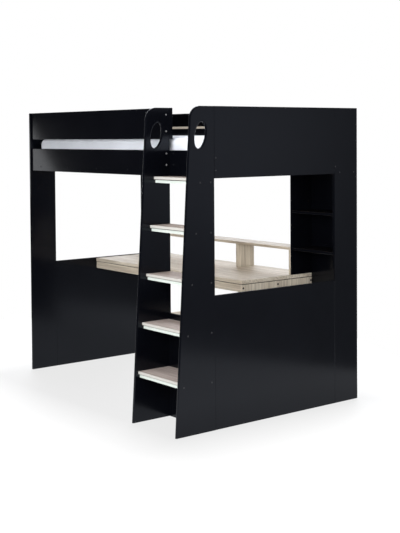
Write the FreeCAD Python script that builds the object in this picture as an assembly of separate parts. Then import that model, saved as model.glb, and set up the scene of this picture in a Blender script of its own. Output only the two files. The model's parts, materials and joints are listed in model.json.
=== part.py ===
import FreeCAD, Part

import os

V = FreeCAD.Vector
UP = V(0, 0, 1)
DOWN = V(0, 0, -1)
RIGHT = V(1, 0, 0)
LEFT = V(-1, 0, 0)
BACK = V(0, 1, 0)
FRONT = V(0, -1, 0)

# High sleeper bed. X runs along the bed, Y from the ladder to the back, Z up from the floor.
# The origin is on the floor, under the middle of the whole outline. All sizes are in millimetres.

# Overall
LENGTH = 2015.0
HEIGHT = 1771.0
POST_WIDTH = 194.0

# Boards
BOARD = 16.0
RAIL_BOARD = 22.0
DESK_BOARD = 22.0
EASE = 2.0

# Bed rails and rear bay
RAIL_SETBACK = 10.0
FRONT_RAIL_HEIGHT = 150.0
RAIL_GAP = 64.0
GUARD_HEIGHT = 179.0
LEDGE_DROP = 97.0

# Ladder
LADDER_WIDTH = 420.0
LADDER_REACH = 260.0
LADDER_TOP_REACH = 150.0
LADDER_CORNER = 70.0
LADDER_ROUND = 6.0
GRAB_LENGTH = 146.0
GRAB_WIDTH = 72.0
GRAB_DROP = 157.0
GRAB_SETBACK = 93.0
GRAB_TILT_SHARE = 0.23
TREAD_COUNT = 5
TREAD_FIRST_TOP = 289.0
TREAD_LAST_RISE = 3.0
TREAD_NOSE_SETBACK = 38.0
TREAD_RETREAT = 30.0
TREAD_BOARD = 16.0
NOSE_ROUND = 2.5
STRIP_SETBACK = 9.5
STRIP_THICK = 2.0
STRIP_HEIGHT = 17.0
STRIP_DROP = 2.0
STRIP_EASE = 0.6
KICK_DROP = 141.0

# Mattress and its base
BATTEN_RISE = 9.0
BATTEN_HEIGHT = 40.0
BATTEN_THICK = 30.0
SLAT_COUNT = 14
SLAT_WIDTH = 70.0
SLAT_THICK = 18.0
SLAT_PLAY = 2.0
MATTRESS_WIDTH = 890.0
MATTRESS_THICK = 166.0
MATTRESS_PLAY = 4.0
MATTRESS_END_ROOM = 41.5
MATTRESS_SEAT_GAP = 0.3
MATTRESS_CORNER = 33.0
MATTRESS_EDGE = 24.0
MATTRESS_DRAW = 5.0
MATTRESS_WAIST = 4.0
MATTRESS_CROWN = 9.0
MATTRESS_CROWN_INSET = 210.0
MATTRESS_ROUND_SHARES = ((0.0, 1.0), (0.3, 0.3), (1.0, 0.0))

# Desk, raised shelf and bookcase
DESK_HEIGHT = 735.0
DESK_DEPTH = 583.0
DESK_RAIL_HEIGHT = 50.0
DESK_FRONT_OVERHANG = 3.0
DESK_GAP = 3.0
DESK_GAP_DEPTH = 3.5
DESK_SUPPORT_LAP = 40.0
PANEL_OVER_DESK = 4.0
CASE_WIDTH = 364.0
LOW_SHELF_SHARE = 0.266
HIGH_SHELF_SHARE = 0.63
RAISED_SHELF_DEPTH = 146.0
SHELF_SETBACK = 8.0
RISER_SHARES = (0.0, 0.338, 0.676, 1.0)

# Fixings
OVERRUN = 5.0
FIT = 0.1
END_ROOM = 0.8
SCREW_HEAD_R = 5.0
DESK_SCREW_HEAD_R = 6.5
SCREW_HEAD_THICK = 3.0
SCREW_SHANK_R = 2.5
SCREW_LENGTH = 40.0
SOCKET_R = 2.3
SOCKET_DEPTH = 2.0
SOCKET_SIDES = 6
DOWEL_R = 4.0
DOWEL_LENGTH = 30.0
DOWEL_LEAD = 10.0
DOWEL_CHAMFER = 1.0
CAM_R = 5.0
CAM_DEPTH = 12.5
CAM_SETBACK = 24.5
CAM_SLOT_LENGTH = 6.0
CAM_SLOT_WIDTH = 1.6
CAM_SLOT_DEPTH = 2.0
CAM_BOLT_R = 3.0
CAM_BOLT_GRIP = 12.0
TREAD_SCREW_DROP = 23.0
TREAD_SCREW_FRONT = 15.0
TREAD_SCREW_REAR = 25.0
BATTEN_SCREW_COUNT = 6
BATTEN_SCREW_INSET = 124.0
RAIL_SCREW_SHARES = (0.29, 0.75)
BAY_SCREW_SHARES = (0.18, 0.92)
GUARD_CAM_SHARES = (0.25, 0.78)
RAIL_CAM_SHARES = (0.45, 0.88)
PANEL_CAM_SHARES = (0.15, 0.85)
CASE_SCREW_SHARE = 0.2
PAIR_SHARES = (0.25, 0.75)
TRIO_SHARES = (0.15, 0.5, 0.85)
ROW_SHARES = (0.08, 0.36, 0.64, 0.92)

# Sizes that follow from others
BED_BOTTOM = HEIGHT - GUARD_HEIGHT - RAIL_GAP - FRONT_RAIL_HEIGHT
FRAME_DEPTH = RAIL_SETBACK + RAIL_BOARD + MATTRESS_WIDTH + 2 * MATTRESS_PLAY + POST_WIDTH
MATTRESS_LENGTH = LENGTH - 2 * BOARD - 2 * MATTRESS_END_ROOM
TREAD_RISE = (BED_BOTTOM + TREAD_LAST_RISE - TREAD_FIRST_TOP) / (TREAD_COUNT - 1)
KICK_HEIGHT = DESK_HEIGHT - KICK_DROP
END_PANEL_HEIGHT = DESK_HEIGHT + PANEL_OVER_DESK
LOW_SHELF_TOP = DESK_HEIGHT + LOW_SHELF_SHARE * (BED_BOTTOM - DESK_HEIGHT)
HIGH_SHELF_TOP = DESK_HEIGHT + HIGH_SHELF_SHARE * (BED_BOTTOM - DESK_HEIGHT)

# Places that the pieces share
X_OUT = LENGTH / 2
X_IN = X_OUT - BOARD
X_END_MID = X_OUT - BOARD / 2
Y_REAR = (FRAME_DEPTH + LADDER_REACH) / 2
Y_FRONT = Y_REAR - FRAME_DEPTH
Y_RAIL = Y_FRONT + RAIL_SETBACK
Y_RAIL_BACK = Y_RAIL + RAIL_BOARD
Y_FRONT_SEAM = Y_FRONT + POST_WIDTH
Y_POST = Y_REAR - POST_WIDTH
Y_BAY = Y_POST + BOARD
Y_BACK = Y_REAR - BOARD
Y_KICK = Y_RAIL - BOARD
Z_RAIL_TOP = BED_BOTTOM + FRONT_RAIL_HEIGHT
Z_GUARD = HEIGHT - GUARD_HEIGHT
Z_LEDGE_TOP = HEIGHT - LEDGE_DROP
Z_LEDGE = Z_LEDGE_TOP - BOARD
Z_BATTEN = BED_BOTTOM + BATTEN_RISE
Z_SLAT = Z_BATTEN + BATTEN_HEIGHT
Z_MATTRESS = Z_SLAT + SLAT_THICK + MATTRESS_SEAT_GAP
X_SIDE_OUT = X_OUT - LADDER_WIDTH
X_SIDE_IN = X_SIDE_OUT + BOARD
X_DESK_END = X_IN - CASE_WIDTH
X_SUPPORT = X_DESK_END - DESK_SUPPORT_LAP
X_DIVIDER = X_DESK_END - BOARD
X_RISER = X_DIVIDER - BOARD
Y_DESK = Y_BACK - DESK_DEPTH
Y_DESK_RAIL = Y_DESK + DESK_FRONT_OVERHANG
Y_DESK_RAIL_MID = (Y_DESK_RAIL + Y_BACK) / 2
Z_DESK_SLAB = DESK_HEIGHT - DESK_BOARD
Z_DESK_RAIL = Z_DESK_SLAB - DESK_RAIL_HEIGHT
Y_SHELF = Y_POST + SHELF_SETBACK
Z_CUBBY_TOP = KICK_HEIGHT - BOARD


def at(span, share):
    """The place a share of the way along a (low, high) span."""
    return span[0] + (span[1] - span[0]) * share


def middle(span):
    return (span[0] + span[1]) / 2


def board(x, y, z, ease=EASE):
    """A board that fills three (low, high) spans, with eased edges."""
    solid = Part.makeBox(x[1] - x[0], y[1] - y[0], z[1] - z[0], V(x[0], y[0], z[0]))
    return solid.makeFillet(ease, solid.Edges)


def extruded(points, travel):
    """A closed outline, pushed along a vector."""
    return Part.Face(Part.makePolygon(points + points[:1])).extrude(travel)


def placed(shape, point, axis):
    """A copy of a shape that was made along +Z at the origin."""
    copy = shape.copy()
    copy.Placement = FreeCAD.Placement(point, FreeCAD.Rotation(UP, axis))
    return copy


def drilled(solid, bores):
    """A board with every fixing's bore that reaches it."""
    near = [bore for bore in bores if bore.BoundBox.intersect(solid.BoundBox)]
    return solid.cut(near).Solids[0] if near else solid


# Fixings, each made once along +Z with its mouth at the origin

def screw(head_r):
    """A flat-headed panel screw with a hexagon socket."""
    head = Part.makeCylinder(head_r, SCREW_HEAD_THICK)
    shank = Part.makeCylinder(SCREW_SHANK_R, SCREW_LENGTH)
    turn = FreeCAD.Rotation(UP, 360.0 / SOCKET_SIDES)
    corners = [V(SOCKET_R, 0, 0)]
    for _ in range(SOCKET_SIDES - 1):
        corners.append(turn.multVec(corners[-1]))
    socket = extruded(corners, UP * SOCKET_DEPTH)
    return head.fuse(shank).removeSplitter().cut(socket)


def screw_bore(head_r):
    recess = Part.makeCylinder(head_r + FIT, SCREW_HEAD_THICK + OVERRUN, DOWN * OVERRUN)
    return recess.fuse(Part.makeCylinder(SCREW_SHANK_R + FIT, SCREW_LENGTH + END_ROOM))


def dowel():
    """A wooden dowel that sits a lead deep in one board and the rest in the other."""
    peg = Part.makeCylinder(DOWEL_R, DOWEL_LENGTH, DOWN * DOWEL_LEAD)
    rims = [edge for edge in peg.Edges if edge.Curve.TypeId == "Part::GeomCircle"]
    return peg.makeChamfer(DOWEL_CHAMFER, rims)


def dowel_bore():
    return Part.makeCylinder(DOWEL_R + FIT, DOWEL_LENGTH + 2 * END_ROOM, DOWN * (DOWEL_LEAD + END_ROOM))


def cam():
    """A round cam lock with a crossed driver slot in its face."""
    disc = Part.makeCylinder(CAM_R, CAM_DEPTH)
    half_length = CAM_SLOT_LENGTH / 2
    half_width = CAM_SLOT_WIDTH / 2
    for x, y in ((half_length, half_width), (half_width, half_length)):
        disc = disc.cut(Part.makeBox(2 * x, 2 * y, CAM_SLOT_DEPTH, V(-x, -y, 0)))
    return disc


def cam_bore():
    return Part.makeCylinder(CAM_R + FIT, CAM_DEPTH + OVERRUN, DOWN * OVERRUN)


def cam_bolt():
    return Part.makeCylinder(CAM_BOLT_R, CAM_SETBACK + CAM_BOLT_GRIP)


def cam_bolt_bore():
    return Part.makeCylinder(CAM_BOLT_R + FIT, CAM_SETBACK + CAM_BOLT_GRIP + END_ROOM)


# Places of the fixings: each is a mouth point and the direction into the second board

def tread_top(index):
    return TREAD_FIRST_TOP + index * TREAD_RISE


def tread_nose(index):
    return Y_FRONT - LADDER_REACH + TREAD_NOSE_SETBACK + index * TREAD_RETREAT


def tread_screw_places():
    places = []
    for index in range(TREAD_COUNT):
        z = tread_top(index) - TREAD_SCREW_DROP
        for y in (tread_nose(index) + TREAD_SCREW_FRONT, Y_RAIL - TREAD_SCREW_REAR):
            places += [(V(X_SIDE_OUT, y, z), RIGHT), (V(X_OUT, y, z), LEFT)]
    return places


def end_screw_places():
    """Screws through both ends into the rails and the bay floor, and through the left end into the desk."""
    rail_z = [at((BED_BOTTOM, Z_RAIL_TOP), share) for share in RAIL_SCREW_SHARES]
    yz = [(middle((Y_RAIL, Y_RAIL_BACK)), z) for z in rail_z]
    yz.append((middle((Y_POST, Y_BAY)), rail_z[0]))
    yz += [(at((Y_BAY, Y_BACK), share), BED_BOTTOM + BOARD / 2) for share in BAY_SCREW_SHARES]
    left_yz = yz + [(yz[0][0], at((Z_GUARD, HEIGHT), share)) for share in PAIR_SHARES]
    left_yz += desk_rail_centres()
    return [(V(X_OUT, y, z), LEFT) for y, z in yz] + [(V(-X_OUT, y, z), RIGHT) for y, z in left_yz]


def desk_rail_centres():
    """Y and Z of the three long desk rails."""
    z = middle((Z_DESK_RAIL, Z_DESK_SLAB))
    return [(y, z) for y in (Y_DESK_RAIL + BOARD / 2, Y_DESK_RAIL_MID, Y_BACK - BOARD / 2)]


def desk_screw_places():
    """Screws through the desk's right end rail, and one from behind through the bookcase back."""
    places = [(V(X_DESK_END, y, z), LEFT) for y, z in desk_rail_centres()]
    z = at((Z_DESK_RAIL, Z_DESK_SLAB), CASE_SCREW_SHARE)
    return places + [(V(X_DESK_END - BOARD / 2, Y_REAR, z), FRONT)]


def batten_screw_places():
    z = Z_BATTEN + BATTEN_HEIGHT / 2
    reach = X_IN - BATTEN_SCREW_INSET
    xs = [at((-reach, reach), index / (BATTEN_SCREW_COUNT - 1)) for index in range(BATTEN_SCREW_COUNT)]
    return [(V(x, Y_RAIL, z), BACK) for x in xs] + [(V(x, Y_BAY, z), FRONT) for x in xs]


def cam_places():
    """Cam locks in the inner faces of both ladder sides."""
    y = Y_RAIL - CAM_SETBACK
    upper = [at((Z_GUARD, HEIGHT), share) for share in GUARD_CAM_SHARES]
    upper += [at((BED_BOTTOM, Z_RAIL_TOP), share) for share in RAIL_CAM_SHARES]
    lower = [at((0, END_PANEL_HEIGHT), share) for share in PANEL_CAM_SHARES]
    return [(V(X_SIDE_IN, y, z), LEFT) for z in upper] + [(V(X_IN, y, z), RIGHT) for z in upper + lower]


def cam_bolt_places():
    half = BOARD / 2
    return [(point + axis * half, BACK) for point, axis in cam_places()]


def end_dowel_places():
    """Dowels across the upright seams of both ends."""
    upper = [at((BED_BOTTOM, HEIGHT), share) for share in PAIR_SHARES]
    lower = [at((0, END_PANEL_HEIGHT), share) for share in TRIO_SHARES]
    seams = [(-X_END_MID, Y_FRONT_SEAM), (-X_END_MID, Y_POST), (X_END_MID, Y_POST)]
    return [(V(x, y, z), BACK) for x, y in seams for z in upper + lower]


def both_ends(yz):
    """Dowels from both bed ends into a board that spans them."""
    return [(V(-X_IN, y, z), RIGHT) for y, z in yz] + [(V(X_IN, y, z), LEFT) for y, z in yz]


def bed_dowel_places():
    back_yz = [(middle((Y_BACK, Y_REAR)), at((BED_BOTTOM, HEIGHT), share)) for share in TRIO_SHARES]
    ledge_yz = [(at((Y_POST, Y_BACK), share), middle((Z_LEDGE, Z_LEDGE_TOP))) for share in PAIR_SHARES]
    rail_yz = [(middle((Y_POST, Y_BAY)), at((Z_RAIL_TOP, Z_LEDGE), share)) for share in PAIR_SHARES]
    xs = [at((-X_IN, X_IN), share) for share in ROW_SHARES]
    bay_z = BED_BOTTOM + BOARD / 2
    across = [(V(x, Y_BAY, bay_z), BACK) for x in xs] + [(V(x, Y_BACK, bay_z), FRONT) for x in xs]
    on_rail = [(V(x, middle((Y_POST, Y_BAY)), Z_LEDGE), DOWN) for x in xs]
    return both_ends(back_yz + ledge_yz + rail_yz) + across + on_rail


def ladder_dowel_places():
    """Dowels of the kick board, the cubby top and the desk support."""
    y_kick = middle((Y_KICK, Y_RAIL))
    z_top = middle((Z_CUBBY_TOP, KICK_HEIGHT))
    kick_z = [at((0, KICK_HEIGHT), share) for share in TRIO_SHARES]
    support_z = [at((0, Z_DESK_RAIL), share) for share in TRIO_SHARES]
    xs = [at((X_SIDE_IN, X_IN), share) for share in PAIR_SHARES]
    ys = [at((Y_RAIL, Y_DESK_RAIL), share) for share in PAIR_SHARES]
    places = [(V(X_SIDE_IN, y_kick, z), RIGHT) for z in kick_z]
    places += [(V(X_IN, y_kick, z), LEFT) for z in kick_z]
    places += [(V(X_IN, y, z_top), LEFT) for y in ys]
    places += [(V(x, Y_RAIL, z_top), BACK) for x in xs] + [(V(x, Y_DESK_RAIL, z_top), FRONT) for x in xs]
    places += [(V(X_IN, Y_DESK_RAIL + BOARD / 2, z), LEFT) for z in support_z]
    places.append((V(X_DESK_END - BOARD / 2, Y_DESK_RAIL + BOARD / 2, Z_DESK_RAIL), DOWN))
    return places


def riser_spans():
    """X spans of the raised shelf's risers, from the left end to the divider."""
    left = (-X_IN, BOARD - X_IN)
    right = (X_RISER, X_DIVIDER)
    return [tuple(at(pair, share) for pair in zip(left, right)) for share in RISER_SHARES]


def desk_dowel_places():
    """Dowels that hold the slab on its rails, and the risers and shelf on the slab."""
    front_y = Y_DESK_RAIL + BOARD / 2
    rear_y = Y_BACK - BOARD / 2
    xs = [at((-X_IN, X_DESK_END), share) for share in TRIO_SHARES]
    ys = [at((Y_SHELF, Y_SHELF + RAISED_SHELF_DEPTH), share) for share in PAIR_SHARES]
    spans = riser_spans()
    z_shelf = LOW_SHELF_TOP - BOARD
    places = [(V(x, y, Z_DESK_SLAB), DOWN) for x in xs for y in (front_y, Y_DESK_RAIL_MID, rear_y)]
    places += [(V(middle(span), y, DESK_HEIGHT), UP) for span in spans for y in ys]
    places += [(V(middle(span), y, z_shelf), DOWN) for span in spans[1:-1] for y in ys]
    places += [(V(spans[0][1], y, z_shelf + BOARD / 2), RIGHT) for y in ys]
    places += [(V(spans[-1][0], y, z_shelf + BOARD / 2), LEFT) for y in ys]
    return places


def case_dowel_places():
    """Dowels of the bookcase's divider, shelves and back."""
    ys = [at((Y_BAY, Y_BACK), share) for share in PAIR_SHARES]
    x_divider = middle((X_DIVIDER, X_DESK_END))
    back_y = middle((Y_BACK, Y_REAR))
    places = []
    for y in ys:
        places += [(V(x_divider, y, DESK_HEIGHT), UP), (V(x_divider, y, BED_BOTTOM), DOWN)]
        for top in (LOW_SHELF_TOP, HIGH_SHELF_TOP):
            z = top - BOARD / 2
            places += [(V(X_DESK_END, y, z), RIGHT), (V(X_IN, y, z), LEFT)]
    return places + [(V(X_IN, back_y, at((0, BED_BOTTOM), share)), LEFT) for share in TRIO_SHARES]


# Boards and soft pieces

def bed_ends():
    upper = (BED_BOTTOM, HEIGHT)
    lower = (0, END_PANEL_HEIGHT)
    full = (0, HEIGHT)
    left = (-X_OUT, -X_IN)
    right = (X_IN, X_OUT)
    rear = (Y_POST, Y_REAR)
    left_middle = (Y_FRONT_SEAM, Y_POST)
    right_middle = (Y_RAIL, Y_POST)
    return {
        "post_front_left": board(left, (Y_FRONT, Y_FRONT_SEAM), full),
        "post_rear_left": board(left, rear, full),
        "panel_lower_left": board(left, left_middle, lower),
        "panel_upper_left": board(left, left_middle, upper),
        "post_rear_right": board(right, rear, full),
        "panel_lower_right": board(right, right_middle, lower),
        "panel_upper_right": board(right, right_middle, upper),
    }


def grab_hole(x):
    """An upright oval through a ladder side, its top leaning to the back."""
    lean = V(0, GRAB_TILT_SHARE, 1).normalize()
    cross = V(0, 1, -GRAB_TILT_SHARE).normalize()
    centre = V(x - OVERRUN, Y_RAIL - GRAB_SETBACK, HEIGHT - GRAB_DROP)
    oval = Part.Ellipse(centre + lean * (GRAB_LENGTH / 2), centre + cross * (GRAB_WIDTH / 2), centre)
    return Part.Face(Part.Wire([oval.toShape()])).extrude(RIGHT * (BOARD + 2 * OVERRUN))


def rims(solid):
    """The edges around both faces of a ladder side, apart from its foot."""
    return [edge for edge in solid.Edges if edge.BoundBox.XLength < EASE and edge.CenterOfMass.z > EASE]


def ladder_side(x):
    """A ladder side: upright at the back, sloping and rounded in front, with a grab hole."""
    foot = V(x, Y_FRONT - LADDER_REACH, 0)
    top = V(x, Y_FRONT - LADDER_TOP_REACH, HEIGHT)
    points = [V(x, Y_RAIL, 0), foot, top, V(x, Y_RAIL, HEIGHT)]
    solid = extruded(points, RIGHT * BOARD)
    ridge = top + RIGHT * (BOARD / 2)
    corner = min(solid.Edges, key=lambda edge: edge.CenterOfMass.sub(ridge).Length)
    solid = solid.makeFillet(LADDER_CORNER, [corner]).cut(grab_hole(x))
    rounded = [rim for rim in rims(solid) if rim.CenterOfMass.y < Y_RAIL - EASE]
    solid = solid.makeFillet(LADDER_ROUND, rounded)
    seams = [rim for rim in rims(solid) if rim.CenterOfMass.y > Y_RAIL - EASE]
    return solid.makeFillet(EASE, seams)


def tread(index):
    """A thick tread whose top overhangs its core in front."""
    top = tread_top(index)
    nose = tread_nose(index)
    under = top - TREAD_BOARD
    bottom = under - STRIP_DROP - STRIP_HEIGHT
    rear = Y_KICK if bottom < KICK_HEIGHT else Y_RAIL
    core = nose + STRIP_SETBACK + STRIP_THICK
    outline = [(nose, top), (rear, top), (rear, bottom), (core, bottom), (core, under), (nose, under)]
    solid = extruded([V(X_SIDE_IN, y, z) for y, z in outline], RIGHT * (X_IN - X_SIDE_IN))
    half_board = TREAD_BOARD / 2
    nose_edges = [edge for edge in solid.Edges
                  if abs(edge.CenterOfMass.x - middle((X_SIDE_IN, X_IN))) < half_board
                  and abs(edge.CenterOfMass.y - nose) < NOSE_ROUND]
    return solid.makeFillet(NOSE_ROUND, nose_edges)


def glow_strip(index):
    y = tread_nose(index) + STRIP_SETBACK
    z = tread_top(index) - TREAD_BOARD - STRIP_DROP
    return board((X_SIDE_IN, X_IN), (y, y + STRIP_THICK), (z - STRIP_HEIGHT, z), STRIP_EASE)


def ladder():
    pieces = {
        "ladder_side_left": ladder_side(X_SIDE_OUT),
        "ladder_side_right": ladder_side(X_IN),
        "kick_board": board((X_SIDE_IN, X_IN), (Y_KICK, Y_RAIL), (0, KICK_HEIGHT)),
    }
    for index in range(TREAD_COUNT):
        pieces[f"tread_{index + 1}"] = tread(index)
        pieces[f"glow_strip_{index + 1}"] = glow_strip(index)
    return pieces


def bed_box():
    across = (-X_IN, X_IN)
    return {
        "guard_rail": board((-X_IN, X_SIDE_IN), (Y_RAIL, Y_RAIL_BACK), (Z_GUARD, HEIGHT)),
        "front_rail": board(across, (Y_RAIL, Y_RAIL_BACK), (BED_BOTTOM, Z_RAIL_TOP)),
        "rear_rail": board(across, (Y_POST, Y_BAY), (BED_BOTTOM, Z_LEDGE)),
        "bay_floor": board(across, (Y_BAY, Y_BACK), (BED_BOTTOM, BED_BOTTOM + BOARD)),
        "bay_ledge": board(across, (Y_POST, Y_BACK), (Z_LEDGE, Z_LEDGE_TOP)),
        "back_board": board(across, (Y_BACK, Y_REAR), (BED_BOTTOM, HEIGHT)),
    }


def slats():
    gap = (2 * X_IN - SLAT_COUNT * SLAT_WIDTH) / (SLAT_COUNT + 1)
    y = (Y_RAIL_BACK + SLAT_PLAY, Y_POST - SLAT_PLAY)
    z = (Z_SLAT, Z_SLAT + SLAT_THICK)
    starts = [gap - X_IN + index * (SLAT_WIDTH + gap) for index in range(SLAT_COUNT)]
    return Part.makeCompound([board((x, x + SLAT_WIDTH), y, z) for x in starts])


def bed_base():
    across = (-X_IN, X_IN)
    z = (Z_BATTEN, Z_SLAT)
    return {
        "batten_front": board(across, (Y_RAIL_BACK, Y_RAIL_BACK + BATTEN_THICK), z),
        "batten_rear": board(across, (Y_POST - BATTEN_THICK, Y_POST), z),
        "slats": slats(),
    }


def mattress_outline(inset, z):
    """A round-cornered outline whose four sides are drawn in between the corners."""
    centre = V(0, middle((Y_RAIL_BACK, Y_POST)), z)
    reach_x = MATTRESS_LENGTH / 2 - inset
    reach_y = MATTRESS_WIDTH / 2 - inset
    flat_x = reach_x - MATTRESS_CORNER
    flat_y = reach_y - MATTRESS_CORNER
    bend_x = flat_x + MATTRESS_CORNER / 2 ** 0.5
    bend_y = flat_y + MATTRESS_CORNER / 2 ** 0.5
    edges = []
    for right, up in ((1, 1), (-1, 1), (-1, -1), (1, -1)):
        side = V(right * reach_x, up * flat_y, 0)
        bend = V(right * bend_x, up * bend_y, 0)
        end = V(right * flat_x, up * reach_y, 0)
        corner = [side, bend, end] if right == up else [end, bend, side]
        edges.append(Part.Arc(*[centre + point for point in corner]).toShape())
    drawn = [V(0, reach_y - MATTRESS_DRAW, 0), V(MATTRESS_DRAW - reach_x, 0, 0),
             V(0, MATTRESS_DRAW - reach_y, 0), V(reach_x - MATTRESS_DRAW, 0, 0)]
    sides = []
    for index, point in enumerate(drawn):
        start = edges[index].Vertexes[-1].Point
        end = edges[(index + 1) % len(edges)].Vertexes[0].Point
        sides.append(Part.Arc(start, centre + point, end).toShape())
    return Part.Wire([edge for pair in zip(edges, sides) for edge in pair])


def mattress():
    """A crowned mattress with rounded edges and slightly drawn-in sides."""
    top = Z_MATTRESS + MATTRESS_THICK
    shoulder = top - MATTRESS_CROWN
    bends = [(rise * MATTRESS_EDGE, inset * MATTRESS_EDGE) for rise, inset in MATTRESS_ROUND_SHARES]
    low = [(inset, Z_MATTRESS + rise) for rise, inset in bends]
    high = [(inset, shoulder - rise) for rise, inset in bends]
    profile = low + [(MATTRESS_WAIST, middle((Z_MATTRESS, shoulder)))] + high[::-1]
    profile.append((MATTRESS_CROWN_INSET, top))
    return Part.makeLoft([mattress_outline(inset, z) for inset, z in profile], True, True)


def desk_gap():
    """The shadow gap that runs round under the desk top's front and right edges."""
    low = V(-X_OUT, Y_DESK, Z_DESK_SLAB - DESK_GAP)
    block = Part.makeBox(X_OUT + X_DESK_END + OVERRUN, DESK_DEPTH + OVERRUN, DESK_GAP + OVERRUN, low)
    inner = V(-X_OUT, Y_DESK_RAIL + DESK_GAP_DEPTH, low.z)
    kept = Part.makeBox(X_OUT + X_DESK_END - DESK_GAP_DEPTH, DESK_DEPTH + OVERRUN, DESK_GAP + OVERRUN, inner)
    return block.cut(kept)


def desk():
    rail_z = (Z_DESK_RAIL, Z_DESK_SLAB)
    between = (BOARD - X_IN, X_DESK_END - BOARD)
    half = BOARD / 2
    end_y = (Y_DESK_RAIL, Y_BACK)
    pieces = {
        "desk_top": board((-X_IN, X_DESK_END), (Y_DESK, Y_BACK), (Z_DESK_SLAB, DESK_HEIGHT)),
        "desk_end_left": board((-X_IN, BOARD - X_IN), end_y, rail_z),
        "desk_end_right": board((X_DESK_END - BOARD, X_DESK_END), end_y, rail_z),
        "desk_support": board((X_SUPPORT, X_IN), (Y_DESK_RAIL, Y_DESK_RAIL + BOARD), (0, Z_DESK_RAIL)),
        "cubby_top": board((X_SIDE_OUT, X_IN), (Y_RAIL, Y_DESK_RAIL), (Z_CUBBY_TOP, KICK_HEIGHT)),
    }
    names = ("desk_rail_front", "desk_rail_middle", "desk_rail_rear")
    for name, (y, _) in zip(names, desk_rail_centres()):
        pieces[name] = board(between, (y - half, y + half), rail_z)
    for name in ("desk_rail_front", "desk_end_right"):
        pieces[name] = pieces[name].cut(desk_gap()).Solids[0]
    return pieces


def raised_shelf():
    spans = riser_spans()
    y = (Y_SHELF, Y_SHELF + RAISED_SHELF_DEPTH)
    shelf_z = (LOW_SHELF_TOP - BOARD, LOW_SHELF_TOP)
    pieces = {"raised_shelf": board((spans[0][1], spans[-1][0]), y, shelf_z)}
    last = len(spans) - 1
    for index, span in enumerate(spans):
        top = LOW_SHELF_TOP if index in (0, last) else shelf_z[0]
        pieces[f"shelf_riser_{index + 1}"] = board(span, y, (DESK_HEIGHT, top))
    return pieces


def bookcase():
    y = (Y_SHELF, Y_BACK)
    inside = (X_DESK_END, X_IN)
    return {
        "case_divider": board((X_DIVIDER, X_DESK_END), y, (DESK_HEIGHT, BED_BOTTOM)),
        "case_shelf_lower": board(inside, y, (LOW_SHELF_TOP - BOARD, LOW_SHELF_TOP)),
        "case_shelf_upper": board(inside, y, (HIGH_SHELF_TOP - BOARD, HIGH_SHELF_TOP)),
        "case_back": board((X_DESK_END - BOARD, X_IN), (Y_BACK, Y_REAR), (0, BED_BOTTOM)),
    }


def group(shape, places):
    return [placed(shape, point, axis) for point, axis in places]


def main():
    screw_places = {
        "tread_screws": tread_screw_places(),
        "end_screws": end_screw_places(),
        "desk_screws": desk_screw_places(),
        "batten_screws": batten_screw_places(),
    }
    dowel_places = {
        "end_dowels": end_dowel_places(),
        "bed_dowels": bed_dowel_places(),
        "ladder_dowels": ladder_dowel_places(),
        "desk_dowels": desk_dowel_places(),
        "case_dowels": case_dowel_places(),
    }
    head_r = {name: SCREW_HEAD_R for name in screw_places}
    head_r["desk_screws"] = DESK_SCREW_HEAD_R
    fixings = {name: group(screw(head_r[name]), places) for name, places in screw_places.items()}
    fixings.update({name: group(dowel(), places) for name, places in dowel_places.items()})
    bolt_bores = group(cam_bolt_bore(), cam_bolt_places())
    fixings["cam_locks"] = [lock.cut(bolt_bores) for lock in group(cam(), cam_places())]
    fixings["cam_bolts"] = group(cam_bolt(), cam_bolt_places())

    bores = bolt_bores + group(cam_bore(), cam_places())
    for name, places in screw_places.items():
        bores += group(screw_bore(head_r[name]), places)
    for places in dowel_places.values():
        bores += group(dowel_bore(), places)

    boards = {**bed_ends(), **ladder(), **bed_box(), **desk(), **raised_shelf(), **bookcase()}
    base = bed_base()
    parts = {name: drilled(solid, bores) for name, solid in boards.items()}
    for name in ("batten_front", "batten_rear"):
        parts[name] = drilled(base[name], bores)
    parts["slats"] = base["slats"]
    parts["mattress"] = mattress()
    for name, solids in fixings.items():
        parts[name] = Part.makeCompound(solids)

    os.makedirs("parts", exist_ok=True)
    for name, shape in parts.items():
        shape.exportStep(f"parts/{name}.step")
        print(name, len(shape.Solids), shape.isValid(), round(shape.Volume))


main()
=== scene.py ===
import json
import math

import bpy
from bpy.props import FloatProperty, FloatVectorProperty, IntProperty, PointerProperty
from bpy.types import NodeSocket, Operator, Panel, PropertyGroup
from mathutils import Matrix, Quaternion, Vector


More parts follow.
